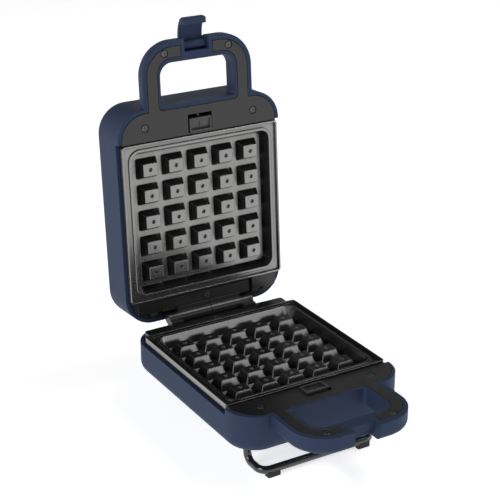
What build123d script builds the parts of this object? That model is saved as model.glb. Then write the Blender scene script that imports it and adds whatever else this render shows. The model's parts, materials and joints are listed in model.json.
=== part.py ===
# A square-plate waffle maker with carry-loop handles, standing open.
#
# The two halves are near twins: a moulded shell, a black inner frame, a studded cast plate that
# lifts out, and a heater under it. Every piece of a half is drawn face-up in the half's own axes:
# the plate's stud tops at height 0, the handle towards -Y, the hinge towards +Y. The finished
# piece is then placed on that half's plane: the base level, the lid swung open about the hinge.
from build123d import *
from collections import namedtuple
from math import cos, radians, sin, tan
import os

os.makedirs("parts", exist_ok=True)

# ---------------------------------------------------------------- driving dimensions (mm, degrees)
# Waffle grid
stud_count = 5
stud_pitch_x, stud_pitch_y = 24.0, 22.6
stud_foot_x, stud_foot_y = 19.7, 17.6
stud_height = 8.6
draft = 21.6
stud_corner = 1.6
stud_edge = 0.5
dimple_radius, dimple_root, dimple_depth = 1.7, 0.7, 1.5

# Cooking plate
wall_gap = 4.0          # from the outer studs' feet to the foot of the well's wall
well_corner = 4.0
ridge_width, ridge_top = 2.4, 1.6
channel_side, channel_end, channel_floor = 4.2, 3.0, 0.3
lip_width, lip_top = 1.3, 2.45
plate_corner = 2.5
rim_bottom = -3.6
plate_floor = 3.5
plate_wall = 4.0
keeper_slot_width, keeper_slot_depth = 14.0, 2.4
plate_tab_x, plate_tab_width, plate_tab_reach, plate_tab_height = 56.0, 12.0, 3.0, 1.8

# Shells
face_level = 1.0        # rims and inner frames stand this far above the stud tops
side_margin = 2.6
apron_length = 28.0     # from the plate's front edge to the front wall
rear_length = 22.5      # from the plate's rear edge to the rear wall
body_corner = 25.2
base_depth, lid_depth = 32.6, 44.4
base_edge, lid_edge = 9.6, 9.0
wall, floor_wall = 3.1, 2.6
step_level = -4.4       # the rim drops to here beside the plate
step_margin = 1.6

# Handle loops
handle_width, handle_reach, handle_depth = 102.2, 53.5, 14.6
handle_corner, base_grip_edge, lid_grip_edge = 28.8, 5.0, 9.0
opening_width, opening_reach = 70.0, 35.5
opening_corner, opening_root = 11.0, 3.0
rim_side, rim_front = 3.8, 4.8
lining_side, lining_front = 2.2, 3.4
bridge_width = 29.2     # solid middle of each handle bar, where the latch works

# Inner frames
frame_gap = 0.5
frame_skin = 2.6
frame_bottom = -6.8
recess_level = -3.6
pad_inner, pad_outer, pad_length = 44.4, 68.0, 11.5
plate_clearance, ledge_gap, well_gap, tab_gap = 0.7, 0.6, 1.2, 1.0
pad_corner = 2.0

# Hinge
hinge_setback = 20.0    # from the plate's rear edge to the hinge axis
close_gap = 0.3         # between the two plate lips when shut
knuckle_radius, knuckle_length, lid_knuckle_length = 4.6, 11.0, 29.9
knuckle_gap = 0.3
pin_radius, pin_clearance = 2.0, 0.05
open_angle = 93.8
bracket_thickness, bracket_half = 1.8, 43.0
rib_count, rib_pitch, rib_groove, rib_depth = 4, 2.2, 0.7, 0.35

# Latch
latch_width, latch_play = 21.6, 0.6
latch_pivot_back, latch_pivot_level = 6.9, -6.0   # pivot: behind the handle's front, and height
latch_barrel, latch_thickness = 3.6, 2.6
latch_offset, latch_straight, latch_curl = 3.1, 6.0, 2.7    # the tab runs straight, then curls
latch_reach, hook_depth, hook_length, hook_back_rise = 17.4, 5.8, 9.0, 6.6
latch_corner, hook_edge = 2.4, 1.2
latch_pin_radius, latch_pin_end_gap = 1.5, 0.3
catch_clearance, slot_clearance = 0.4, 0.6
notch_setback, pocket_clearance = 7.0, 0.5

# Plate release buttons
button_width, button_length, button_back = 20.6, 11.7, 2.6
button_play, button_travel, button_rear_gap, button_front_gap = 1.0, 3.0, 0.3, 0.7
skin_bridge, skin_over_tongue = 3.0, 1.6     # the frame's strip between the button and the plate
button_top, button_flange, button_wing = 2.1, 1.6, 4.0
button_wall, scoop_front, scoop_rear = 1.2, 1.0, 2.6
grip_ridge_width, grip_ridge_inset, grip_ridge_top = 1.0, 3.5, 1.1
tongue_width, tongue_low, tongue_high, tongue_slack = 12.0, -2.3, -1.1, 0.4
rail_gap, rail_width, rail_length, rail_drop, rail_lip, rail_sheet = 3.9, 2.0, 14.0, 4.2, 2.4, 1.4
spring_radius, spring_wire, spring_pitch, spring_end_gap, spring_gap = 1.4, 0.3, 1.3, 0.5, 0.3

# Stand and feet
ground_clearance = 28.4
wire_radius, wire_bend = 3.25, 8.0
stand_half_width, stand_front, stand_root = 52.0, 85.0, 62.4
pad_height, pad_length_x = 2.25, 11.5
foot_x, foot_inset, foot_width, foot_length = 34.0, 16.64, 26.0, 17.0
foot_pad_height, foot_pad_margin, foot_taper, foot_corner = 3.0, 2.25, 1.5, 3.0
foot_screw_offset, foot_screw_head, foot_screw_bite = 4.5, 3.4, 8.0
socket_radius, socket_height, retainer_height = 5.0, 5.0, 4.0
pad_inset = 6.5

# Heater
element_radius, element_bend = 3.25, 10.0
element_half_x, element_half_y, element_leg = 46.0, 40.0, 14.0
rib_width, rib_height = 11.0, 3.0
pan_sheet, pan_floor, pan_flange = 0.8, -20.8, 3.2
pan_clearance, pan_corner = 2.2, 8.0
cradle_size, cradle_spread, cradle_drop = 9.0, 20.0, 1.2
bead_radius, bead_length, bead_setback = 4.6, 9.0, 3.5
thermostat_radius, thermostat_drop, thermostat_gap = 7.6, 4.5, 0.3
bracket_x, bracket_y, bracket_sheet = 11.0, 6.0, 1.0
terminal_tag_inner, terminal_tag_outer, terminal_tag_width = 3.0, 3.8, 6.0
fuse_radius, fuse_start, fuse_length, fuse_lead, fuse_y = 2.1, 18.0, 11.0, 4.0, -6.0

# Screws
screw_radius, screw_head, screw_sink = 1.5, 2.8, 3.5
screw_head_height, screw_slack = 1.5, 0.1
recess_span, recess_width, recess_depth = 0.8, 0.8, 0.7     # span is a share of the head
sink_depth, screw_length = 1.6, 12.0
post_radius, boss_wall = 3.9, 1.05
grip_screw_inset, grip_screw_setback = 5.0, 10.2            # from the opening's side, handle's front
apron_screw_x, apron_screw_setback = 51.4, 12.4             # from the plate's front edge
rear_screw_x, rear_screw_inset = 51.0, 4.3                  # from the rear wall's inside
bracket_screw_setback, bracket_screw_length = 7.8, 6.0
bracket_boss_radius, bracket_boss_drop = 3.6, 4.0

# Wiring, lamps and openings of the shells
wire_gauge, wire_turn = 1.3, 1.6
inlet_level, grommet_radius, grommet_bore = -15.5, 6.5, 3.6
grommet_flange, grommet_lip, grommet_tail = 2.5, 1.6, 2.0
terminal_length, terminal_width, terminal_height = 24.0, 10.0, 9.0
terminal_hole, terminal_pitch, terminal_gap = 2.0, 7.5, 1.3
lead_pitch, lead_rise, lead_drop, lead_return = 3.6, 4.0, 3.4, 7.0
element_tail = 14.0     # how far the element's ends stand behind the plate's well
lamp_x, lamp_y, lamp_radius, lamp_proud = 11.0, 76.0, 4.0, 0.8
holder_margin, holder_length, holder_sheet = 8.0, 12.0, 1.6
lamp_body_radius, lamp_body_length = 3.2, 11.0
vent_count, vent_pitch, vent_rows_apart = 7, 8.0, 50.0
vent_length, vent_width = 26.0, 3.0

# ---------------------------------------------------------------- sizes that follow from them
well_foot_x = (stud_count - 1) / 2 * stud_pitch_x + stud_foot_x / 2 + wall_gap
well_foot_y = (stud_count - 1) / 2 * stud_pitch_y + stud_foot_y / 2 + wall_gap
well_spread = (stud_height + ridge_top) * tan(radians(draft))
ridge_inner_x, ridge_inner_y = well_foot_x + well_spread, well_foot_y + well_spread
ridge_outer_x, ridge_outer_y = ridge_inner_x + ridge_width, ridge_inner_y + ridge_width
channel_x, channel_y = ridge_outer_x + channel_side, ridge_outer_y + channel_end
plate_x, plate_y = channel_x + lip_width, channel_y + lip_width
plate_bottom = -stud_height - plate_floor
block_x, block_y = well_foot_x + plate_wall, well_foot_y + plate_wall

body_x = plate_x + side_margin
body_front, body_rear = plate_y + apron_length, plate_y + rear_length
handle_front = body_front + handle_reach
opening_front = body_front + opening_reach
cavity_x, cavity_front, cavity_rear = body_x - wall, body_front - wall, body_rear - wall
step_front = plate_y + step_margin

hinge_y = plate_y + hinge_setback
hinge_level = lip_top + close_gap / 2
pivot_y = handle_front - latch_pivot_back
catch_level = 2 * hinge_level - latch_pivot_level - latch_reach + catch_clearance
element_level = plate_bottom - rib_height
element_end = block_y + element_tail
pan_x, pan_y = block_x + pan_clearance, block_y + pan_clearance
boss_radius = screw_sink + boss_wall
bracket_screw_y = plate_y + bracket_screw_setback
foot_y = cavity_rear - foot_inset
foot_screw_y = foot_y - foot_screw_offset
terminal_x = rear_screw_x - post_radius - terminal_gap - terminal_length / 2
terminal_y = foot_screw_y + foot_screw_head + terminal_gap + terminal_width / 2
end_knuckle_inner = lid_knuckle_length + 2 * knuckle_gap
end_knuckle_outer = end_knuckle_inner + knuckle_length

# Screws that hold each inner frame into its shell: (x, y, height of the seat the head lies on)
frame_screws = [
    (side * x, y, seat)
    for side in (-1, 1)
    for x, y, seat in (
        (opening_width / 2 - grip_screw_inset, -(handle_front - grip_screw_setback), face_level),
        (apron_screw_x, -(plate_y + apron_screw_setback), face_level),
        (rear_screw_x, cavity_rear - rear_screw_inset, recess_level),
    )
]

# The half planes. The base's stud tops are level; the lid's plane is turned about the hinge.
plate_level = ground_clearance + base_depth - face_level
lean = radians(open_angle - 90)
lid_back = (
    hinge_y
    + (hinge_level + lid_depth - face_level - lid_edge) * cos(lean)
    + (hinge_y + body_front - lid_edge) * sin(lean)
    + lid_edge
)
base_y = (handle_front - lid_back) / 2      # centres the open appliance on the origin
swing = radians(open_angle)
lid_along, lid_out = Vector(0, cos(swing), -sin(swing)), Vector(0, -sin(swing), -cos(swing))
hinge_point = Vector(0, base_y + hinge_y, plate_level + hinge_level)
lid_origin = hinge_point - lid_along * hinge_y - lid_out * hinge_level

Half = namedtuple("Half", "name face depth edge grip_edge")
base = Half("base", Plane(origin=(0, base_y, plate_level)), base_depth, base_edge, base_grip_edge)
lid = Half("lid", Plane(origin=lid_origin, x_dir=(-1, 0, 0), z_dir=lid_out), lid_depth, lid_edge,
           lid_grip_edge)
halves = (base, lid)


def place(piece, half, label):
    """Set a piece that was drawn in a half's own axes on that half, name it and write it."""
    with BuildPart(half.face) as placed:
        add(piece.part)
    placed.part.label = label
    export_step(placed.part, f"parts/{label}.step")


def block(x0, x1, y0, y1, z0, z1, mode=Mode.ADD):
    """A box between two corners."""
    with Locations(((x0 + x1) / 2, (y0 + y1) / 2, (z0 + z1) / 2)):
        Box(abs(x1 - x0), abs(y1 - y0), abs(z1 - z0), mode=mode)


def peg(x, y, z0, z1, radius, mode=Mode.ADD):
    """An upright cylinder from height z0 to z1."""
    with Locations((x, y, (z0 + z1) / 2)):
        Cylinder(radius, abs(z1 - z0), mode=mode)


def rod(x0, x1, y, z, radius, mode=Mode.ADD):
    """A cylinder along X from x0 to x1."""
    with Locations(((x0 + x1) / 2, y, z)):
        Cylinder(radius, abs(x1 - x0), rotation=(0, 90, 0), mode=mode)


def frustum(low, high, foot, top, mode=Mode.ADD):
    """A drafted block: a rounded rectangle (width, length, corner) at each of two heights."""
    sections = []
    for level, size in ((low, foot), (high, top)):
        with BuildSketch(Plane.XY.offset(level)) as section:
            RectangleRounded(*size)
        sections.append(section.sketch)
    loft(sections, mode=mode)


def tube(level, points, bend, radius, mode=Mode.ADD):
    """A round rod that follows straight runs joined by equal bends, at one height."""
    with BuildLine(Plane.XY.offset(level)) as route:
        FilletPolyline(*points, radius=bend)
    with BuildSketch(Plane(route.line @ 0, z_dir=route.line % 0)) as section:
        Circle(radius)
    sweep(section.sketch, path=route.line, mode=mode)


# ---------------------------------------------------------------- outlines
def body_face(level, inset):
    """The body's plan, a rounded rectangle, drawn inset from its outer wall."""
    with BuildSketch(Plane.XY.offset(level)) as plan:
        with Locations((0, (body_rear - body_front) / 2)):
            RectangleRounded(
                2 * (body_x - inset), body_front + body_rear - 2 * inset, body_corner - inset
            )
    return plan.sketch


def loop_face(level, side, front):
    """The handle's plan with no opening, inset at its sides and front, run back into the body."""
    root = body_front - body_corner
    with BuildSketch(Plane.XY.offset(level)) as plan:
        with Locations((0, -(handle_front - front + root) / 2)):
            Rectangle(handle_width - 2 * side, handle_front - front - root)
        tips = plan.vertices().group_by(Axis.Y)[0]
        fillet(tips, handle_corner - front)
    return plan.sketch


def opening_face(level, side, front, rear):
    """The hand opening's plan, grown outwards at its sides, front and rear."""
    grown_width = opening_width + 2 * side
    length = opening_reach + front + rear
    with BuildSketch(Plane.XY.offset(level)) as plan:
        with Locations((0, -(opening_front + front) + length / 2)):
            Rectangle(grown_width, length)
        fillet(plan.vertices().group_by(Axis.Y)[0], opening_corner + side)
        fillet(plan.vertices().group_by(Axis.Y)[-1], opening_root + side / 2)
    return plan.sketch


def cavity_face(level, inset):
    """The space inside the rims, which the inner frame fills, drawn inset from the rims."""
    with BuildSketch(Plane.XY.offset(level)) as plan:
        add(body_face(0, wall + inset))
        add(loop_face(0, rim_side + inset, rim_front + inset))
        add(opening_face(0, lining_side + inset, lining_front + inset, wall + inset),
            mode=Mode.SUBTRACT)
        bar_length = rim_front + handle_reach
        with Locations((0, -(body_front + opening_reach / 2 + bar_length / 2))):
            Rectangle(bridge_width + 2 * inset, bar_length, mode=Mode.SUBTRACT)
    return plan.sketch


# ---------------------------------------------------------------- shells
def make_shell(half):
    """The outer moulding of a half: a deep tray, its handle loop, and the posts for the screws."""
    bottom = face_level - half.depth
    with BuildPart() as tray:
        extrude(body_face(bottom, 0), amount=half.depth)
        fillet(tray.edges().group_by(Axis.Z)[0], half.edge)
    with BuildPart() as handle:
        extrude(loop_face(face_level - handle_depth, 0, 0), amount=handle_depth)
        fillet(handle.edges().group_by(Axis.Z)[0].filter_by(lambda e: e.center().Y < -body_front),
               half.grip_edge)
        extrude(opening_face(face_level - handle_depth, 0, 0, 0), amount=handle_depth,
                mode=Mode.SUBTRACT)
    with BuildPart() as hollow:
        extrude(body_face(bottom + floor_wall, wall), amount=half.depth)
        fillet(hollow.edges().group_by(Axis.Z)[0], half.edge - wall)
    with BuildPart() as shell:
        add(tray.part)
        add(handle.part)
        add(hollow.part, mode=Mode.SUBTRACT)
        extrude(cavity_face(face_level - handle_depth + wall, 0), amount=handle_depth,
                mode=Mode.SUBTRACT)
        block(-body_x, body_x, -step_front, body_rear, step_level, face_level + 1,
              mode=Mode.SUBTRACT)
        for x, y, seat in frame_screws:
            floor = face_level - handle_depth + wall if y < -body_front else bottom + floor_wall
            peg(x, y, floor - 0.5, frame_bottom, post_radius)
            peg(x, y, max(floor, seat - sink_depth - screw_length), frame_bottom, screw_radius,
                mode=Mode.SUBTRACT)
    return shell


def make_base_shell():
    """The base moulding, with the notch and catch for the latch, and holes for what it carries."""
    shell = make_shell(base)
    bottom = face_level - base_depth
    notch = latch_width / 2 + latch_play
    with BuildPart() as moulding:
        add(shell.part)
        block(-notch, notch, -handle_front - 1, -(handle_front - notch_setback),
              face_level - handle_depth - 1, face_level + 1, mode=Mode.SUBTRACT)
        block(-notch, notch, -handle_front - 1, -(pivot_y + latch_offset - hook_length
                                                  - pocket_clearance),
              face_level - handle_depth - 1, catch_level, mode=Mode.SUBTRACT)
        for side in (-1, 1):
            peg(side * stand_half_width, -stand_root, bottom - 1, bottom + floor_wall + 1,
                wire_radius + 0.2, mode=Mode.SUBTRACT)
            peg(side * foot_x, foot_screw_y, bottom - 1, bottom + floor_wall + 1,
                screw_radius + screw_slack, mode=Mode.SUBTRACT)
        with BuildSketch(Plane.XY.offset(bottom - 1)):
            with GridLocations(vent_pitch, vent_rows_apart, vent_count, 2):
                SlotOverall(vent_length, vent_width, rotation=90)
        extrude(amount=floor_wall + 2, mode=Mode.SUBTRACT)
        with Locations((terminal_x, body_rear, inlet_level)):
            Cylinder(grommet_radius, 4 * wall, rotation=(90, 0, 0), mode=Mode.SUBTRACT)
    place(moulding, base, "base_shell")


def make_lid_shell():
    """The lid moulding, with the slot the latch swings in and the windows of the two lamps."""
    shell = make_shell(lid)
    bottom = face_level - lid_depth
    slot = latch_width / 2 + latch_play
    with BuildPart() as moulding:
        add(shell.part)
        block(-slot, slot, -handle_front - 1, -(pivot_y - latch_barrel - latch_play),
              latch_pivot_level - latch_offset - latch_thickness - slot_clearance, face_level + 1,
              mode=Mode.SUBTRACT)
        rod(-bridge_width / 2, bridge_width / 2, -pivot_y, latch_pivot_level, latch_pin_radius,
            mode=Mode.SUBTRACT)
        for side in (-1, 1):
            peg(side * lamp_x, -lamp_y, bottom - 1, bottom + floor_wall + 1, lamp_radius,
                mode=Mode.SUBTRACT)
    place(moulding, lid, "lid_shell")


# ---------------------------------------------------------------- inner frames
def make_frame(half):
    """The black moulding inside a shell: apron, handle trim, plate ledge and rear hinge deck."""
    under = face_level - frame_skin
    pocket_y = plate_y + plate_clearance
    hole_x, hole_y = block_x + well_gap, block_y + well_gap
    pocket_floor = rim_bottom - ledge_gap
    with BuildPart() as bosses:
        for x, y, seat in frame_screws:
            peg(x, y, frame_bottom, seat, boss_radius)
        extrude(cavity_face(frame_bottom, frame_gap), amount=face_level - frame_bottom,
                mode=Mode.INTERSECT)
    with BuildPart() as frame:
        extrude(cavity_face(frame_bottom, frame_gap), amount=face_level - frame_bottom)
        # Hollow the apron and the handle trim from below, leaving a skin and walls.
        hollow = BuildSketch(Plane.XY.offset(frame_bottom))
        with hollow:
            add(cavity_face(0, frame_gap + frame_skin))
            with Locations((0, -pocket_y - frame_skin + body_x)):
                Rectangle(4 * body_x, 2 * body_x, mode=Mode.SUBTRACT)
        extrude(hollow.sketch, amount=under - frame_bottom, mode=Mode.SUBTRACT)
        # The plate drops into a pocket, and its well hangs through the hole in the middle.
        block(-body_x, body_x, -pocket_y, pocket_y, pocket_floor, face_level + 1,
              mode=Mode.SUBTRACT)
        block(-hole_x, hole_x, -hole_y, hole_y, frame_bottom - 1, face_level + 1,
              mode=Mode.SUBTRACT)
        # Behind the plate the deck is low, apart from two raised pads that hold the plate's tabs.
        with BuildSketch(Plane.XY.offset(recess_level)) as deck:
            with Locations((0, pocket_y + body_rear / 2)):
                Rectangle(2 * body_x, body_rear)
            for side in (-1, 1):
                with Locations((side * (pad_inner + pad_outer) / 2, pocket_y + pad_length / 2)):
                    RectangleRounded(pad_outer - pad_inner, pad_length, pad_corner,
                                     mode=Mode.SUBTRACT)
        extrude(deck.sketch, amount=face_level - recess_level + 1, mode=Mode.SUBTRACT)
        for side in (-1, 1):
            reach = plate_tab_width / 2 + tab_gap
            block(side * plate_tab_x - reach, side * plate_tab_x + reach, pocket_y - 1,
                  plate_y + plate_tab_reach + tab_gap, pocket_floor,
                  rim_bottom + plate_tab_height + tab_gap, mode=Mode.SUBTRACT)
        # Bosses and holes for the screws into the shell.
        add(bosses.part)
        for x, y, seat in frame_screws:
            peg(x, y, seat - sink_depth, seat + 1, screw_sink, mode=Mode.SUBTRACT)
            peg(x, y, frame_bottom - 1, seat, screw_radius + screw_slack, mode=Mode.SUBTRACT)
        # Button cut-out, its side rails, and the window its tongue passes through.
        cut_x = button_width / 2 + button_play
        rail = cut_x + rail_gap
        cut_rear = -(plate_y + button_back - button_rear_gap)
        cut_front = cut_rear - button_length - button_travel - button_front_gap
        rail_rear = cut_rear - skin_bridge
        for side in (-1, 1):
            ends = (rail_rear - rail_length, rail_rear)
            block(side * rail, side * (rail + rail_width), *ends, under - rail_drop, under + 0.2)
            block(side * (rail - rail_lip), side * (rail + rail_width), *ends,
                  under - rail_drop, under - rail_drop + rail_sheet)
        block(-cut_x, cut_x, cut_front, cut_rear, under - 0.5, face_level + 1,
              mode=Mode.SUBTRACT)
        block(-cut_x, cut_x, rail_rear, -pocket_y + 1, pocket_floor, face_level - skin_over_tongue,
              mode=Mode.SUBTRACT)
        # The boss and hole for the hinge bracket's screw.
        peg(0, bracket_screw_y, frame_bottom - bracket_boss_drop, recess_level,
            bracket_boss_radius)
        peg(0, bracket_screw_y, frame_bottom - bracket_boss_drop - 1, recess_level + 1,
            screw_radius, mode=Mode.SUBTRACT)
    place(frame, half, f"{half.name}_frame")


# ---------------------------------------------------------------- cooking plates
def element_route(grow=0.0):
    """The heating element's run: a square loop with its two ends leading out at the rear."""
    rear = element_half_y
    end = element_end + grow
    return [
        (-element_leg, end), (-element_leg, rear), (-element_half_x, rear),
        (-element_half_x, -element_half_y), (element_half_x, -element_half_y),
        (element_half_x, rear), (element_leg, rear), (element_leg, end),
    ]


def make_plate(half):
    """The lift-out cast plate: lip, overflow channel, ridge, drafted well and a grid of studs."""
    with BuildPart() as stud:
        shrink = 2 * stud_height * tan(radians(draft))
        frustum(-stud_height, 0, (stud_foot_x, stud_foot_y, stud_corner),
                (stud_foot_x - shrink, stud_foot_y - shrink, stud_corner / 2))
        fillet(stud.faces().sort_by(Axis.Z)[-1].edges(), stud_edge)
        with Locations((0, 0, -dimple_depth / 2)):
            Cone(dimple_root, dimple_radius, dimple_depth, mode=Mode.SUBTRACT)
    with BuildPart() as plate:
        with BuildSketch(Plane.XY.offset(rim_bottom)):
            RectangleRounded(2 * plate_x, 2 * plate_y, plate_corner)
        extrude(amount=lip_top - rim_bottom)
        with BuildSketch(Plane.XY.offset(plate_bottom)):
            RectangleRounded(2 * block_x, 2 * block_y, well_corner + plate_wall)
        extrude(amount=rim_bottom - plate_bottom)
        with BuildSketch(Plane.XY.offset(channel_floor)):
            RectangleRounded(2 * channel_x, 2 * channel_y, plate_corner - lip_width / 2)
        extrude(amount=lip_top, mode=Mode.SUBTRACT)
        with BuildSketch(Plane.XY.offset(channel_floor)):
            RectangleRounded(2 * ridge_outer_x, 2 * ridge_outer_y,
                             well_corner + well_spread + ridge_width)
        extrude(amount=ridge_top - channel_floor)
        fillet(plate.edges().filter_by_position(Axis.Z, ridge_top - 0.01, ridge_top + 0.01),
               ridge_width / 3)
        frustum(-stud_height, ridge_top, (2 * well_foot_x, 2 * well_foot_y, well_corner),
                (2 * ridge_inner_x, 2 * ridge_inner_y, well_corner + well_spread),
                mode=Mode.SUBTRACT)
        with Locations((0, 0, 0)), GridLocations(stud_pitch_x, stud_pitch_y, stud_count,
                                                 stud_count):
            add(stud.part)
        # Underneath, a rib with a groove sits on the heating element.
        with BuildSketch(Plane.XY.offset(element_level)):
            Rectangle(2 * element_half_x + rib_width, 2 * element_half_y + rib_width)
            Rectangle(2 * element_half_x - rib_width, 2 * element_half_y - rib_width,
                      mode=Mode.SUBTRACT)
        extrude(amount=rib_height)
        tube(element_level, element_route(grow=20.0), element_bend, element_radius + 0.2,
             mode=Mode.SUBTRACT)
        # The release button's tongue enters a slot in the front edge; tabs hold the rear edge.
        block(-keeper_slot_width / 2, keeper_slot_width / 2, -plate_y - 1,
              -plate_y + keeper_slot_depth, tongue_low - 0.4, tongue_high + 0.4,
              mode=Mode.SUBTRACT)
        for side in (-1, 1):
            block(side * plate_tab_x - plate_tab_width / 2, side * plate_tab_x
                  + plate_tab_width / 2, plate_y - 2, plate_y + plate_tab_reach,
                  rim_bottom, rim_bottom + plate_tab_height)
    place(plate, half, f"{half.name}_plate")


# ---------------------------------------------------------------- heaters
def make_heater(half):
    """Reflector pan, sheathed element, its cradles and end beads, and the thermostat."""
    with BuildPart() as element:
        tube(element_level, element_route(), element_bend, element_radius)
    place(element, half, f"{half.name}_heating_element")

    with BuildPart() as pan:
        for grow, low, high in ((0, pan_floor, frame_bottom), (pan_flange, frame_bottom
                                                               - pan_sheet, frame_bottom)):
            with BuildSketch(Plane.XY.offset(low)):
                RectangleRounded(2 * (pan_x + grow), 2 * (pan_y + grow), pan_corner)
            extrude(amount=high - low)
        with BuildSketch(Plane.XY.offset(pan_floor + pan_sheet)):
            RectangleRounded(2 * (pan_x - pan_sheet), 2 * (pan_y - pan_sheet),
                             pan_corner - pan_sheet)
        extrude(amount=-pan_floor, mode=Mode.SUBTRACT)
        for side in (-1, 1):
            with Locations((side * element_leg, pan_y, element_level)):
                Cylinder(bead_radius, 6.0, rotation=(90, 0, 0), mode=Mode.SUBTRACT)
        peg(0, 0, pan_floor - 1, pan_floor + 2, thermostat_radius + 0.2, mode=Mode.SUBTRACT)
    place(pan, half, f"{half.name}_reflector_pan")

    with BuildPart() as cradles:
        for x, y in ((-element_half_x, 0), (element_half_x, 0),
                     (-cradle_spread, -element_half_y), (cradle_spread, -element_half_y)):
            block(x - cradle_size / 2, x + cradle_size / 2, y - cradle_size / 2,
                  y + cradle_size / 2, pan_floor + pan_sheet, element_level - cradle_drop)
        tube(element_level, element_route(), element_bend, element_radius, mode=Mode.SUBTRACT)
    place(cradles, half, f"{half.name}_element_cradles")

    with BuildPart() as beads:
        for side in (-1, 1):
            with Locations((side * element_leg, pan_y + bead_setback, element_level)):
                Cylinder(bead_radius, bead_length, rotation=(90, 0, 0))
                Cylinder(element_radius, bead_length + 1, rotation=(90, 0, 0),
                         mode=Mode.SUBTRACT)
    place(beads, half, f"{half.name}_ceramic_beads")

    with BuildPart() as thermostat:
        peg(0, 0, pan_floor - thermostat_drop, plate_bottom - thermostat_gap, thermostat_radius)
        block(-bracket_x, bracket_x, -bracket_y, bracket_y, pan_floor + pan_sheet,
              pan_floor + pan_sheet + bracket_sheet)
        for side in (-1, 1):
            block(side * terminal_tag_inner, side * terminal_tag_outer, -terminal_tag_width / 2,
                  terminal_tag_width / 2, pan_floor - thermostat_drop - 2.5,
                  pan_floor - thermostat_drop + 0.5)
        fillet(thermostat.edges().group_by(Axis.Z)[-1], 1.0)
    place(thermostat, half, f"{half.name}_thermostat")


# ---------------------------------------------------------------- screws
def make_screw(length, head_radius=screw_head):
    """A pan-head cross-recess screw, its head resting on height 0."""
    with BuildPart() as screw:
        peg(0, 0, -length, 0.2, screw_radius)
        peg(0, 0, 0, screw_head_height, head_radius)
        fillet(screw.edges().group_by(Axis.Z)[-1], 0.4)
        for turn in (0, 90):
            with Locations((0, 0, screw_head_height)):
                Box(2 * recess_span * head_radius, recess_width, 2 * recess_depth,
                    rotation=(0, 0, turn), mode=Mode.SUBTRACT)
    return screw


def make_frame_screws(half):
    """The six screws that hold an inner frame into its shell."""
    floor = face_level - handle_depth + wall
    with BuildPart() as screws:
        for x, y, seat in frame_screws:
            room = seat - sink_depth - floor - 0.4 if y < -body_front else screw_length
            with Locations((x, y, seat - sink_depth)):
                add(make_screw(min(room, screw_length)).part)
    place(screws, half, f"{half.name}_frame_screws")


# ---------------------------------------------------------------- hinge
def make_hinge_bracket(half, knuckles):
    """A deck plate with two knuckles. knuckles gives their inner and outer ends from the middle."""
    inner, outer = knuckles
    deck_rear = hinge_y - knuckle_radius - 1.1
    with BuildPart() as bracket:
        block(-bracket_half, bracket_half, plate_y + 3.5, deck_rear, recess_level,
              recess_level + bracket_thickness)
        for side in (-1, 1):
            ends = (side * inner, side * outer)
            block(*ends, deck_rear - 3, hinge_y, recess_level, hinge_level)
            rod(*ends, hinge_y, hinge_level, knuckle_radius)
            bore = pin_radius if half is base else pin_radius + pin_clearance
            rod(*ends, hinge_y, hinge_level, bore, mode=Mode.SUBTRACT)
        peg(0, bracket_screw_y, recess_level - 1, face_level, screw_radius + screw_slack,
            mode=Mode.SUBTRACT)
        if half is base:
            # A lip closes the gap under the lid's knuckles.
            block(-end_knuckle_inner - 1, end_knuckle_inner + 1, deck_rear - 1,
                  hinge_y + knuckle_radius / 2, recess_level,
                  hinge_level - knuckle_radius - knuckle_gap)
            for side in (-1, 1):
                for rib in range(rib_count):
                    with Locations((side * (inner + (rib + 1) * rib_pitch), hinge_y, hinge_level)):
                        add(groove.part, mode=Mode.SUBTRACT)
    place(bracket, half, f"{half.name}_hinge_bracket")


def make_hinge_pin():
    """The steel rod through all the knuckles."""
    with BuildPart() as pin:
        rod(-end_knuckle_outer, end_knuckle_outer, hinge_y, hinge_level, pin_radius)
        chamfer(pin.edges().filter_by(GeomType.CIRCLE), 0.5)
    place(pin, base, "hinge_pin")


def make_bracket_screw(half):
    """The screw that fixes a hinge bracket to the frame's deck."""
    with BuildPart() as screw:
        with Locations((0, bracket_screw_y, recess_level + bracket_thickness)):
            add(make_screw(bracket_screw_length).part)
    place(screw, half, f"{half.name}_hinge_screw")


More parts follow.
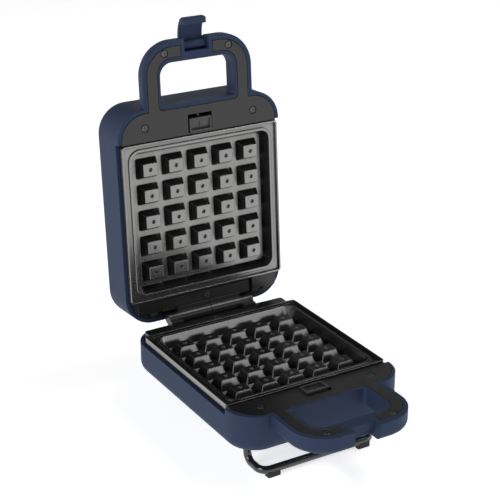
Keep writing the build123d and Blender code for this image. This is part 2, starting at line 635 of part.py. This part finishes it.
# ---------------------------------------------------------------- plate release buttons
def make_button(half):
    """A sliding button: a scooped thumb pad, a flange under the apron, and the tongue."""
    rear = -(plate_y + button_back)
    front = rear - button_length
    under = face_level - frame_skin - 0.4
    half_width = button_width / 2
    with BuildPart() as button:
        block(-half_width, half_width, front, rear, under - button_flange, button_top)
        fillet(button.edges().filter_by(Axis.Z), 0.8)
        block(-half_width - button_wing, half_width + button_wing, front, rear - button_wall,
              under - button_flange, under)
        block(-tongue_width / 2, tongue_width / 2, rear - 2,
              -plate_y + keeper_slot_depth - tongue_slack, tongue_low, tongue_high)
        # The thumb scoop slopes down from the rear wall to a shallow front step.
        with BuildSketch(Plane.YZ):
            with BuildLine():
                Polyline((rear - button_wall, button_top + 1),
                         (rear - button_wall, button_top - scoop_rear),
                         (front + button_wall, button_top - scoop_front),
                         (front + button_wall, button_top + 1), close=True)
            make_face()
        extrude(amount=half_width - button_wall, both=True, mode=Mode.SUBTRACT)
        # A small ridge in the scoop for grip.
        block(-grip_ridge_width / 2, grip_ridge_width / 2, front + grip_ridge_inset,
              rear - grip_ridge_inset, button_top - scoop_rear, button_top - grip_ridge_top)
    place(button, half, f"{half.name}_release_button")

    # The return spring stands between the flange and the front wall of the frame.
    spring_front = -(body_front - wall - frame_gap - frame_skin)
    with BuildPart() as spring:
        with BuildLine() as coil:
            Helix(pitch=spring_pitch, height=front - spring_front - 2 * spring_end_gap,
                  radius=spring_radius)
        with BuildSketch(Plane(coil.line @ 0, z_dir=coil.line % 0)):
            Circle(spring_wire)
        sweep(path=coil.line, is_frenet=True)
    spring_level = face_level - frame_skin - spring_gap - spring_radius - spring_wire
    with BuildPart(Plane(origin=(0, spring_front + spring_end_gap, spring_level),
                         z_dir=(0, 1, 0))) as turned:
        add(spring.part)
    place(turned, half, f"{half.name}_release_spring")


# ---------------------------------------------------------------- latch
def make_latch():
    """The lid's latch: a barrel on a pin, and a tab that curls into a hook. Drawn standing open."""
    front_level = latch_pivot_level - latch_offset
    back_level = front_level - latch_thickness
    hook_level = front_level + hook_length
    curl_y, hook_y = -(pivot_y + latch_straight), -(pivot_y + latch_reach)
    tip_y = hook_y - hook_depth
    with BuildPart() as latch:
        with BuildSketch(Plane.YZ):
            with BuildLine():
                front = Line((-pivot_y, front_level), (curl_y, front_level))
                TangentArc(front @ 1, (hook_y, front_level + latch_curl), tangent=front % 1)
                Polyline((hook_y, front_level + latch_curl), (hook_y, hook_level),
                         (tip_y, hook_level), (tip_y, back_level + hook_back_rise))
                back = Line((-pivot_y, back_level), (curl_y, back_level))
                TangentArc(back @ 1, (tip_y, back_level + hook_back_rise), tangent=back % 1)
                Line(front @ 0, back @ 0)
            make_face()
            with Locations((-pivot_y, latch_pivot_level)):
                Circle(latch_barrel)
        extrude(amount=latch_width / 2, both=True)
        rod(-latch_width, latch_width, -pivot_y, latch_pivot_level,
            latch_pin_radius + pin_clearance, mode=Mode.SUBTRACT)
        fillet(latch.edges().filter_by(Axis.Z).sort_by(Axis.Y)[:2], latch_corner)
        tips = latch.edges().filter_by(Axis.X).filter_by(lambda e: e.center().Y < hook_y)
        fillet(tips.sort_by(Axis.Z)[-1:], hook_edge)
    place(latch, lid, "latch")

    with BuildPart() as pin:
        reach = bridge_width / 2 - latch_pin_end_gap
        rod(-reach, reach, -pivot_y, latch_pivot_level, latch_pin_radius)
        chamfer(pin.edges().filter_by(GeomType.CIRCLE), 0.3)
    place(pin, lid, "latch_pin")


# ---------------------------------------------------------------- stand and feet
def make_stand():
    """The bent wire stand under the front, its sockets, retainers and rubber pads."""
    bottom = face_level - base_depth
    wire_level = pad_height + wire_radius - plate_level
    top = bottom + floor_wall + retainer_height
    with BuildPart() as wire:
        with BuildLine() as route:
            FilletPolyline(
                (-stand_half_width, -stand_root, top),
                (-stand_half_width, -stand_root, wire_level),
                (-stand_half_width, -stand_front, wire_level),
                (stand_half_width, -stand_front, wire_level),
                (stand_half_width, -stand_root, wire_level),
                (stand_half_width, -stand_root, top),
                radius=wire_bend,
            )
        with BuildSketch(Plane(route.line @ 0, z_dir=route.line % 0)):
            Circle(wire_radius)
        sweep(path=route.line)
    place(wire, base, "front_stand")

    with BuildPart() as sockets:
        for side in (-1, 1):
            peg(side * stand_half_width, -stand_root, bottom - socket_height, bottom,
                socket_radius)
        fillet(sockets.edges().group_by(Axis.Z)[0], 0.8)
        for side in (-1, 1):
            peg(side * stand_half_width, -stand_root, bottom - socket_height - 1, bottom + 1,
                wire_radius, mode=Mode.SUBTRACT)
    place(sockets, base, "stand_sockets")

    with BuildPart() as retainers:
        for side in (-1, 1):
            peg(side * stand_half_width, -stand_root, bottom + floor_wall, top, socket_radius)
            peg(side * stand_half_width, -stand_root, bottom, top + 1, wire_radius,
                mode=Mode.SUBTRACT)
    place(retainers, base, "stand_retainers")

    with BuildPart() as pads:
        for side in (-1, 1):
            x = side * (stand_half_width - wire_radius - pad_inset)
            block(x - pad_length_x / 2, x + pad_length_x / 2, -stand_front - wire_radius,
                  -stand_front + wire_radius, -plate_level, wire_level - 0.6)
        fillet(pads.edges().filter_by(Axis.Z), 1.2)
        add(wire.part, mode=Mode.SUBTRACT)
    place(pads, base, "stand_pads")


def make_rear_feet():
    """Two moulded rear feet screwed up under the base, each on a rubber pad."""
    bottom = face_level - base_depth
    foot_low = foot_pad_height - plate_level
    with BuildPart() as feet:
        for side in (-1, 1):
            for level, shrink in ((foot_low, foot_taper), (bottom, 0)):
                with BuildSketch(Plane.XY.offset(level)):
                    with Locations((side * foot_x, foot_y)):
                        RectangleRounded(foot_width - 2 * shrink, foot_length - 2 * shrink,
                                         foot_corner)
            loft()
            peg(side * foot_x, foot_screw_y, bottom - screw_length, bottom + 1, screw_radius,
                mode=Mode.SUBTRACT)
    place(feet, base, "rear_feet")

    with BuildPart() as pads:
        with BuildSketch(Plane.XY.offset(-plate_level)):
            with Locations((-foot_x, foot_y), (foot_x, foot_y)):
                RectangleRounded(foot_width - 2 * foot_pad_margin,
                                 foot_length - 2 * foot_pad_margin, foot_corner - 1)
        extrude(amount=foot_pad_height)
    place(pads, base, "rear_foot_pads")

    with BuildPart() as screws:
        for side in (-1, 1):
            with Locations((side * foot_x, foot_screw_y, bottom + floor_wall)):
                add(make_screw(floor_wall + foot_screw_bite, foot_screw_head).part)
    place(screws, base, "rear_foot_screws")


# ---------------------------------------------------------------- wiring and lamps
def make_wire(points):
    """One insulated wire: straight runs joined by equal bends."""
    with BuildPart() as wire:
        with BuildLine() as route:
            FilletPolyline(*points, radius=wire_turn)
        with BuildSketch(Plane(route.line @ 0, z_dir=route.line % 0)):
            Circle(wire_gauge)
        sweep(path=route.line)
    return wire


def make_wiring():
    """Terminal block, cord grommet, thermal fuse, and the wires of each half."""
    with BuildPart() as grommet:
        with Locations(Plane(origin=(terminal_x, body_rear, inlet_level), z_dir=(0, 1, 0))):
            Cylinder(grommet_radius + grommet_flange, grommet_lip,
                     align=(Align.CENTER, Align.CENTER, Align.MIN))
            Cylinder(grommet_radius, wall + grommet_tail,
                     align=(Align.CENTER, Align.CENTER, Align.MAX))
            Cylinder(grommet_bore, 6 * wall, mode=Mode.SUBTRACT)
    place(grommet, base, "cord_grommet")

    terminal_level = face_level - base_depth + floor_wall
    terminal_rear = terminal_y + terminal_width / 2
    with BuildPart() as terminals:
        block(terminal_x - terminal_length / 2, terminal_x + terminal_length / 2,
              terminal_rear - terminal_width, terminal_rear, terminal_level,
              terminal_level + terminal_height)
        fillet(terminals.edges().filter_by(Axis.Z), 1.0)
        for step in (-terminal_pitch, 0, terminal_pitch):
            peg(terminal_x + step, terminal_y, terminal_level + terminal_height / 2,
                terminal_level + terminal_height + 1, terminal_hole, mode=Mode.SUBTRACT)
    place(terminals, base, "terminal_block")

    with BuildPart() as fuse:
        fuse_end, fuse_level = fuse_start + fuse_length, pan_floor - fuse_radius
        rod(fuse_start, fuse_end, fuse_y, fuse_level, fuse_radius)
        rod(fuse_start - fuse_lead, fuse_end + fuse_lead, fuse_y, fuse_level, fuse_radius / 3)
    place(fuse, base, "thermal_fuse")

    for half in halves:
        low = pan_floor - lead_drop
        with BuildPart() as wires:
            for x in (-element_leg, element_leg):
                add(make_wire([
                    (x, element_end, element_level),
                    (x, element_end + lead_rise, element_level),
                    (x, element_end + lead_rise, low),
                    (x, element_end - lead_return, low),
                ]).part)
        place(wires, half, f"{half.name}_element_leads")

    # From the grommet the cord's two wires drop behind the terminal block and enter its rear.
    drop_y = terminal_rear + wire_turn + wire_gauge / 2
    lead_level = terminal_level + terminal_height / 2
    with BuildPart() as cord_leads:
        for x in (terminal_x - lead_pitch / 2, terminal_x + lead_pitch / 2):
            add(make_wire([
                (x, body_rear - wall / 2, inlet_level),
                (x, drop_y, inlet_level),
                (x, drop_y, lead_level),
                (x, terminal_rear, lead_level),
            ]).part)
    place(cord_leads, base, "cord_leads")


def make_lamps():
    """Two indicator lamps in the lid's outer face: coloured lenses and the holder behind them."""
    bottom = face_level - lid_depth
    for label, side in (("power_lamp_lens", -1), ("ready_lamp_lens", 1)):
        with BuildPart() as lens:
            peg(side * lamp_x, -lamp_y, bottom - lamp_proud, bottom + floor_wall, lamp_radius)
            fillet(lens.edges().group_by(Axis.Z)[0], 0.7)
        place(lens, lid, label)
    with BuildPart() as holder:
        seat = bottom + floor_wall
        block(-lamp_x - holder_margin, lamp_x + holder_margin, -lamp_y - holder_length / 2,
              -lamp_y + holder_length / 2, seat, seat + holder_sheet)
        for side in (-1, 1):
            peg(side * lamp_x, -lamp_y, seat, seat + lamp_body_length, lamp_body_radius)
    place(holder, lid, "lamp_holder")


# ---------------------------------------------------------------- build
with BuildPart() as groove:
    Cylinder(knuckle_radius + 1, rib_groove, rotation=(0, 90, 0))
    Cylinder(knuckle_radius - rib_depth, rib_groove, rotation=(0, 90, 0), mode=Mode.SUBTRACT)

make_base_shell()
make_lid_shell()
for half in halves:
    make_frame(half)
    make_plate(half)
    make_heater(half)
    make_frame_screws(half)
    make_bracket_screw(half)
    make_button(half)
make_hinge_bracket(base, (end_knuckle_inner, end_knuckle_outer))
make_hinge_bracket(lid, (knuckle_gap, lid_knuckle_length + knuckle_gap))
make_hinge_pin()
make_latch()
make_stand()
make_rear_feet()
make_wiring()
make_lamps()
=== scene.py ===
# %% [markdown]
# # An open waffle maker, finished in Blender
# A small square-plate waffle maker stands open: a deep base, a leaning lid, two lift-out plates
# with a grid of studs, a carry loop on each half, a flip latch and a bent-wire front stand.
# Every piece already has its shape and its place in the frame that this script loads, so the
# lesson is about looks: what each piece is made of, how light meets it, and the small things
# that are too fine for the frame.

# %% Load the frame
import json
import math

import bpy
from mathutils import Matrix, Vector


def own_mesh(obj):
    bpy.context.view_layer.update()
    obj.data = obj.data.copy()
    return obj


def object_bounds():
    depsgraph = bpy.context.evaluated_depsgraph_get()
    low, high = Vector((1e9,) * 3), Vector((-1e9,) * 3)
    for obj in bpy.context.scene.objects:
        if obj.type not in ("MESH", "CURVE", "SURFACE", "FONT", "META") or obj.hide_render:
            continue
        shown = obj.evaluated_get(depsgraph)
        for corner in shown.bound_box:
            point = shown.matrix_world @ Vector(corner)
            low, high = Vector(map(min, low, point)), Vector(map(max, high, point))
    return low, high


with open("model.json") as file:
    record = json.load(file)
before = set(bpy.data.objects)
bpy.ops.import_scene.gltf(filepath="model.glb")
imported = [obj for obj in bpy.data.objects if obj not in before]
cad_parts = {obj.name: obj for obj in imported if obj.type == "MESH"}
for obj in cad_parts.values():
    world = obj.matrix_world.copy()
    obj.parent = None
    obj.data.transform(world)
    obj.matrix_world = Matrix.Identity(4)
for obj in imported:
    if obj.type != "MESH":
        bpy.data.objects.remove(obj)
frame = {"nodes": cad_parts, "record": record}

frame_low, frame_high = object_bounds()

# %% [markdown]
# ## Writing a material as arithmetic
# Blender's materials are graphs of nodes. Building one by hand takes a line for each node and
# another for each wire, which hides what the material says. Here one class wraps a node's output
# so that `1 - mask` or `0.4 + 0.1 * grain` adds the Math nodes by itself. A second holds a graph
# and adds any other node in one call, and a third is a graph that belongs to a material.

# %% A socket that can be used in sums
class Tap:
    """The output of a node. Sums on it add Math nodes to the same graph."""

    def __init__(self, graph, socket):
        self.graph = graph
        self.socket = socket

    def joined(self, operation, first, second):
        return self.graph.add("ShaderNodeMath", {"operation": operation}, {0: first, 1: second})

    def __add__(self, other):
        return self.joined("ADD", self, other)

    def __sub__(self, other):
        return self.joined("SUBTRACT", self, other)

    def __rsub__(self, other):
        return self.joined("SUBTRACT", other, self)

    def __mul__(self, other):
        return self.joined("MULTIPLY", self, other)

    __radd__ = __add__
    __rmul__ = __mul__


# %% A graph of nodes
class Graph:
    """A node tree, and one way to add any node to it."""

    def __init__(self, tree):
        self.tree = tree

    def feed(self, target, value):
        if isinstance(value, Tap):
            self.tree.links.new(value.socket, target)
        else:
            target.default_value = value

    def add(self, kind, settings=None, sockets=None, output=0):
        """Any node: its type, its settings, the values or links of its sockets, its output."""
        node = self.tree.nodes.new(kind)
        for setting, value in (settings or {}).items():
            setattr(node, setting, value)
        for socket, value in (sockets or {}).items():
            self.feed(node.inputs[socket], value)
        return Tap(self, node.outputs[output])

    def ramp(self, value, low, high):
        """Remap a value between two stops. A stop is a position and a grey level."""
        remapped = self.add("ShaderNodeValToRGB", sockets={"Fac": value})
        stops = remapped.socket.node.color_ramp.elements
        for element, (position, level) in zip(stops, (low, high)):
            element.position = position
            element.color = (level, level, level, 1)
        return remapped


# %% A material and its nodes
class Finish(Graph):
    """A material with one Principled shader. Constants are set on the shader's own sockets."""

    def __init__(self, name, **constants):
        self.material = bpy.data.materials.new(name)
        self.material.use_nodes = True
        super().__init__(self.material.node_tree)
        self.shader = self.tree.nodes["Principled BSDF"]
        self.feed_shader(constants)

    def feed_shader(self, values):
        for socket, value in values.items():
            self.feed(self.shader.inputs[socket.replace("_", " ")], value)

    def place(self):
        """Where a point is on the piece itself, so that a pattern moves with its body."""
        return self.add("ShaderNodeTexCoord", output="Object")

    def grain(self, size, detail=2.0, squash=(1, 1, 1)):
        """Smooth random noise from 0 to 1. Size is in metres."""
        stretched = self.add("ShaderNodeVectorMath", {"operation": "MULTIPLY"},
                             {0: self.place(), 1: squash})
        return self.add("ShaderNodeTexNoise", None,
                        {"Vector": stretched, "Scale": 1 / size, "Detail": detail})

    def tint(self, factor, low, high):
        """Mix two colours by a factor."""
        return self.add("ShaderNodeMix", {"data_type": "RGBA"},
                        {0: factor, 6: (*low, 1), 7: (*high, 1)}, output=2)

    def rounded(self, radius):
        """A normal that rounds the piece's edges by a radius in metres."""
        return self.add("ShaderNodeBevel", {"samples": 4}, {"Radius": radius})

    def bump(self, height, depth, strength=1.0, normal=None):
        """Turn a height from 0 to 1 into a surface normal. Depth is in metres."""
        sockets = {"Height": height, "Distance": depth, "Strength": strength}
        if normal is not None:
            sockets["Normal"] = normal
        return self.add("ShaderNodeBump", None, sockets)

    def edges(self, radius):
        """A mask that is 1 along the piece's outer edges: where the rounded normal turns away."""
        flat = self.add("ShaderNodeNewGeometry", output="Normal")
        same = self.add("ShaderNodeVectorMath", {"operation": "DOT_PRODUCT"},
                        {0: self.rounded(radius), 1: flat}, output="Value")
        return self.ramp(1 - same, (0.0, 0.0), (0.12, 1.0))

    def show(self, **values):
        self.feed_shader(values)
        print("finish:", self.material.name, "nodes:", len(self.tree.nodes))
        return self.material


finishes = {}

# %% [markdown]
# ## The navy mouldings
# The two shells and the latch are moulded in a matt navy plastic with a soft-touch skin. Three
# things make it read as that and not as paint: a very fine spark-eroded grain that breaks up
# highlights, a dull sheen instead of a sharp gloss, and edges that are slightly round. A painted
# highlight mixes a paler navy into the colour along those edges. The grain is only a few
# hundredths of a millimetre deep, so it belongs in the material and not in the mesh.

# %% Matt navy plastic
def navy_plastic():
    navy_deep, navy_light = (0.019, 0.032, 0.070), (0.024, 0.040, 0.084)
    painted_highlight_navy = (0.038, 0.056, 0.104)
    finish = Finish("navy_soft_touch", Specular_IOR_Level=0.16)
    clouds = finish.grain(0.035)
    skin = finish.grain(0.00045, detail=3)
    # Painted highlight: along the edges the colour is mixed towards a paler navy.
    body = finish.add("ShaderNodeMix", {"data_type": "RGBA"},
                      {0: finish.edges(0.0007) * 0.35,
                       6: finish.tint(clouds, navy_deep, navy_light), 7: (*painted_highlight_navy, 1)}, output=2)
    rough = 0.50 + 0.10 * clouds + 0.08 * skin
    return finish.show(Base_Color=body, Roughness=rough,
                       Normal=finish.bump(skin, 0.00003, 0.55, finish.rounded(0.0009)))


finishes["navy_shell"] = navy_plastic()

# %% [markdown]
# ## The black mouldings
# The inner frames hold the plates and carry the screws. They are a heat-resistant black plastic
# with an even satin grain, a little glossier than the shells, so at a low angle they lift from
# black to dark grey. The buttons are the same stuff in a lighter tone, and the hinge brackets are
# a shade greyer. On all three a painted highlight lightens the colour along the edges.

# %% Satin black plastics
def satin_plastic(name, dark, light, rough, grain_size, rounding):
    finish = Finish(name, Specular_IOR_Level=0.62)
    clouds = finish.grain(0.02)
    skin = finish.grain(grain_size, detail=3)
    edge = finish.edges(rounding)
    # Random tone from the clouds, plus a painted highlight that lightens the edges.
    body = finish.tint(0.6 * clouds + 0.5 * edge, dark, light)
    return finish.show(Base_Color=body, Roughness=rough - 0.06 + 0.08 * clouds + 0.06 * skin,
                       Normal=finish.bump(skin, 0.00003, 0.5, finish.rounded(rounding)))


finishes["black_frame"] = satin_plastic(
    "heatproof_black", (0.004, 0.004, 0.004), (0.010, 0.010, 0.010), 0.30, 0.0005, 0.0005)
finishes["button_black"] = satin_plastic(
    "button_black", (0.022, 0.022, 0.023), (0.060, 0.060, 0.062), 0.32, 0.0004, 0.0004)
finishes["hinge_grey"] = satin_plastic(
    "hinge_grey", (0.010, 0.010, 0.010), (0.028, 0.028, 0.029), 0.30, 0.0006, 0.0004)

# %% [markdown]
# ## The non-stick plates
# The plates are cast aluminium under a sprayed, baked non-stick coat with fine mineral flakes in
# it. The coat itself is near black, and its colour carries a painted reflection of the white
# surround. With the appliance standing open, the faces that look to the front get a painted
# dull-silver reflection and a more metallic finish, and the level and side-on faces stay nearly
# black. The front-facing ones are the lid's stud tops, the floor of its well, and the base's rear
# wall and stud fronts. We don't know how this coat was laid on, so the material only states the
# look. One number says which face is which: how far the surface turns from the front of its own
# piece. It comes from the piece's own axes, so the painted reflection moves with the lid. Upright
# faces that look straight to the side, such as the outside of the rim, get the painted reflection
# as well. A painted highlight draws a bright line along sharp cast edges, and painted shade
# darkens the corners of the channel and the floor between the studs. A little orange peel keeps
# reflections from being mirror-straight.

# %% Baked non-stick coat
def plate_coat():
    # The first colour is the near-black coat; the second is the grey of the painted reflection.
    coat, reflection_grey = (0.030, 0.029, 0.029), (0.290, 0.287, 0.283)
    finish = Finish("non_stick_coat", Specular_IOR_Level=0.5)
    own_normal = finish.add("ShaderNodeTexCoord", output="Normal")
    front = finish.add("ShaderNodeVectorMath", {"operation": "DOT_PRODUCT"},
                       {0: own_normal, 1: (0, -1, 0)}, output="Value")
    # Painted reflection: faces that turn to the front of their own piece get the bright grey.
    forward = finish.ramp(front, (0.55, 0.0), (0.92, 1.0))
    across = finish.add("ShaderNodeSeparateXYZ", sockets={"Vector": own_normal}, output="X")
    # Painted reflection on upright faces that look straight to the side.
    sideways = finish.ramp(across * across, (0.92, 0.0), (0.99, 1.0))
    clouds = finish.grain(0.012)
    flakes = finish.ramp(finish.grain(0.00035, detail=1), (0.52, 0.0), (0.68, 1.0))
    # Painted highlight along sharp edges.
    edge = finish.edges(0.0004)
    bright = forward + sideways
    # Painted shade: ambient occlusion darkens the corners and the floor between the studs.
    corners = finish.add("ShaderNodeAmbientOcclusion", {"samples": 8}, {"Distance": 0.005},
                         output="AO")
    opened = finish.ramp(corners, (0.35, 0.15), (0.85, 1.0))
    # The painted reflection, dimmed by the painted shade, plus the painted edge highlight;
    # metallic rises with the same mask.
    shine = (bright * (0.78 + 0.14 * clouds + 0.10 * flakes) * opened
             + 0.60 * edge * (1 - bright))
    peel = finish.grain(0.0012, detail=2)
    return finish.show(Base_Color=finish.tint(shine, coat, reflection_grey),
                       Metallic=0.55 + 0.40 * bright,
                       Roughness=0.17 + 0.05 * clouds + 0.04 * flakes,
                       Normal=finish.bump(peel, 0.00003, 0.25, finish.rounded(0.0005)))


finishes["plate_coating"] = plate_coat()

# %% [markdown]
# ## Metals inside
# Under the plates lie a steel-sheathed heating element, a pressed reflector pan, springs, pins
# and screws. Heat tints the element straw and blue in slow bands along its run. The pan is drawn
# sheet, so its grain runs one way, and turned pins show fine rings.

# %% Steels
def steel(name, dark, light, rough, squash, grain_size=0.0008):
    finish = Finish(name, Metallic=1.0)
    drawn = finish.grain(grain_size, detail=4, squash=squash)
    clouds = finish.grain(0.018)
    return finish.show(Base_Color=finish.tint(0.5 * clouds + 0.4 * drawn, dark, light),
                       Roughness=rough + 0.14 * drawn, Normal=finish.bump(drawn, 0.00002, 0.5))


finishes["element_steel"] = steel("heat_tinted_sheath", (0.20, 0.17, 0.15), (0.46, 0.41, 0.36),
                                  0.34, (1, 1, 1))
finishes["pan_steel"] = steel("aluminised_sheet", (0.50, 0.50, 0.50), (0.72, 0.72, 0.71), 0.28,
                              (0.08, 1, 1))
finishes["spring_steel"] = steel("spring_wire", (0.42, 0.42, 0.43), (0.62, 0.62, 0.63), 0.22,
                                 (1, 1, 1), 0.0003)
finishes["pin_steel"] = steel("turned_steel", (0.46, 0.46, 0.47), (0.66, 0.66, 0.67), 0.24,
                              (1, 0.1, 0.1), 0.0004)

# %% [markdown]
# ## Blackened screws and the enamelled stand
# The screws are black oxide on steel: a dark metal, with a painted highlight that brightens its
# edges and the rims of its recess. The stand is thick wire under glossy black enamel, which is a
# clear coat over black, so it carries long sharp highlights.

# %% Oxide and enamel
def black_oxide():
    finish = Finish("black_oxide", Metallic=0.9)
    speck = finish.grain(0.0004, detail=3)
    # Random specks, plus a painted highlight that brightens the edges.
    body = finish.tint(0.5 * speck + 0.7 * finish.edges(0.0002), (0.045, 0.045, 0.046),
                       (0.260, 0.260, 0.260))
    return finish.show(Base_Color=body, Roughness=0.30 + 0.12 * speck,
                       Normal=finish.bump(speck, 0.00001, 0.5, finish.rounded(0.0002)))


def enamel():
    finish = Finish("gloss_enamel", Coat_Roughness=0.06, Specular_IOR_Level=0.5)
    wave = finish.grain(0.004, detail=1)
    body = finish.tint(wave, (0.008, 0.008, 0.009), (0.016, 0.016, 0.017))
    return finish.show(Base_Color=body, Roughness=0.18 + 0.06 * wave, Coat_Weight=0.5 + 0.2 * wave,
                       Normal=finish.bump(wave, 0.00006, 0.3))


finishes["screw_black"] = black_oxide()
finishes["stand_black"] = enamel()

# %% [markdown]
# ## Rubber, ceramic, sleeving and lenses
# Rubber pads and the cord grommet are dead matt with a bloom of grey. The element's end beads and
# the thermostats are glazed ceramic. Wires that get hot wear a woven glass sleeve, whose weave is
# two crossed waves. The two lamp lenses are small clear domes over a coloured body.

# %% Rubber and ceramic
def rubber():
    finish = Finish("matt_rubber", Specular_IOR_Level=0.3)
    bloom = finish.grain(0.004, detail=4)
    return finish.show(Base_Color=finish.tint(bloom, (0.014, 0.014, 0.014), (0.034, 0.034, 0.033)),
                       Roughness=0.72 + 0.15 * bloom, Normal=finish.bump(bloom, 0.0001, 0.4))


def glazed_ceramic():
    finish = Finish("glazed_ceramic", Coat_Roughness=0.12)
    speck = finish.grain(0.0015, detail=3)
    body = finish.tint(speck, (0.66, 0.63, 0.56), (0.82, 0.80, 0.74))
    return finish.show(Base_Color=body, Roughness=0.32 + 0.1 * speck, Coat_Weight=0.3 * speck,
                       Normal=finish.bump(speck, 0.00005, 0.4))


finishes["rubber_black"] = rubber()
finishes["ceramic"] = glazed_ceramic()


# %% Woven sleeve and lenses
def glass_sleeve():
    finish = Finish("woven_sleeve")
    weave = finish.add("ShaderNodeTexWave", {"wave_type": "BANDS", "bands_direction": "DIAGONAL"},
                       {"Vector": finish.place(), "Scale": 450, "Distortion": 1.5}, output="Fac")
    return finish.show(Base_Color=finish.tint(weave, (0.50, 0.47, 0.40), (0.78, 0.76, 0.70)),
                       Roughness=0.82 - 0.12 * weave, Normal=finish.bump(weave, 0.0002, 0.6))


def lens(name, deep, bright):
    finish = Finish(name, Coat_Roughness=0.03, IOR=1.5, Subsurface_Weight=0.2)
    swirl = finish.grain(0.003, detail=1)
    return finish.show(Base_Color=finish.tint(swirl, deep, bright), Roughness=0.10 + 0.05 * swirl,
                       Coat_Weight=0.8 + 0.1 * swirl, Normal=finish.bump(swirl, 0.00003, 0.2))


finishes["wire_insulation"] = glass_sleeve()
finishes["lens_red"] = lens("red_lens", (0.28, 0.008, 0.008), (0.50, 0.02, 0.015))
finishes["lens_green"] = lens("green_lens", (0.012, 0.20, 0.03), (0.03, 0.40, 0.06))

# %% [markdown]
# ## Dress the frame's pieces
# The record says which finish each piece wears, so one loop dresses them all. The pieces keep the
# shading they came with, where flat faces stay flat and round ones smooth.

# %% Give every piece its finish
for part in frame["record"]["subparts"]:
    piece = frame["nodes"][part["node"]]
    piece.data.materials.clear()
    piece.data.materials.append(finishes[part["material_slot"]])

# %% [markdown]
# ## The return springs
# Each release button slides towards the handle against a coil spring. The spring can't simply ride
# with the button or stay with the frame: one end is held and the other is pushed. Each spring the
# record lists gets a mesh of its own here; the script doesn't flatten it.

# %% Give each spring its own mesh
for joint in frame["record"]["behaviour"]["joints"]:
    for held in joint.get("deforming_nodes", []):
        spring = frame["nodes"][held["node"]]
        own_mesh(spring)

# %% [markdown]
# ## The floor and the light
# A pale seamless floor and a white surround give the soft, nearly shadowless light of a product
# table. A large panel at the left shapes the piece, and a weak one on the right keeps the plates
# from going flat. A third, high on the right, is placed so that the camera sees it only in
# surfaces halfway between level and front-facing. That draws the bright lines along the studs'
# top edges and down the hinge barrel, and leaves the level tops black.

# %% Floor
FLOOR_SIZE = 6.0
bpy.ops.mesh.primitive_plane_add(size=FLOOR_SIZE, location=(0, 0, frame_low[2]))
floor = bpy.context.active_object
floor.name = "floor"
floor_finish = Finish("pale_floor", Roughness=0.6, Specular_IOR_Level=0.2,
                      Emission_Strength=0.70)
floor_tone = floor_finish.tint(floor_finish.grain(0.5), (0.93, 0.93, 0.93), (0.95, 0.95, 0.95))
floor.data.materials.append(floor_finish.show(Base_Color=floor_tone, Emission_Color=floor_tone))

# %% Lights
AIM = Vector((0.0, 0.0, 0.12))


def panel(name, place, size, power):
    light = bpy.data.lights.new(name, "AREA")
    light.shape = "RECTANGLE"
    light.size, light.size_y = size
    light.energy = power
    holder = bpy.data.objects.new(name, light)
    bpy.context.scene.collection.objects.link(holder)
    holder.location = place
    holder.rotation_euler = (AIM - Vector(place)).to_track_quat("-Z", "Y").to_euler()
    print("light:", name, "power", power)


panel("left_panel", (-2.2, -0.45, 1.5), (1.2, 1.2), 27)
panel("right_panel", (2.0, -1.2, 0.9), (0.8, 1.2), 5)
panel("top_panel", (1.15, -0.35, 2.0), (0.9, 0.7), 14)

# %% [markdown]
# The surround is white at the horizon and dark overhead. That is what a table with low white
# walls and an open, unlit ceiling gives, and it is why the faces that look up stay deep black
# while the ones that look out across the table turn silver.

# %% Surround
world = bpy.data.worlds.new("white_walls")
world.use_nodes = True
surround = Graph(world.node_tree)
direction = surround.add("ShaderNodeTexCoord", output="Generated")
height = surround.add("ShaderNodeSeparateXYZ", sockets={"Vector": direction}, output="Z")
WALL_TOP, CEILING_START, CEILING_LEVEL = 0.24, 0.42, 0.04
sky = surround.ramp(height, (WALL_TOP, 1.0), (CEILING_START, CEILING_LEVEL))
surround.feed(world.node_tree.nodes["Background"].inputs["Color"], sky)
bpy.context.scene.world = world
bpy.context.scene.view_settings.view_transform = "Standard"

# %% [markdown]
# ## The camera
# A long lens from the front left, above the handles' height, is how such appliances are usually
# shown: the verticals stay nearly parallel, and both plates are in view.

# %% Camera
CAMERA_PLACE = (-0.5424, -0.8857, 0.5834)
CAMERA_TILT, CAMERA_TURN = 67.3807, -30.8523     # degrees: up from straight down, and to the right
LENS = 101.5                                     # millimetres
camera_data = bpy.data.cameras.new("camera")
camera_data.lens = LENS
camera = bpy.data.objects.new("camera", camera_data)
bpy.context.scene.collection.objects.link(camera)
camera.location = CAMERA_PLACE
camera.rotation_euler = (math.radians(CAMERA_TILT), 0, math.radians(CAMERA_TURN))
bpy.context.scene.camera = camera
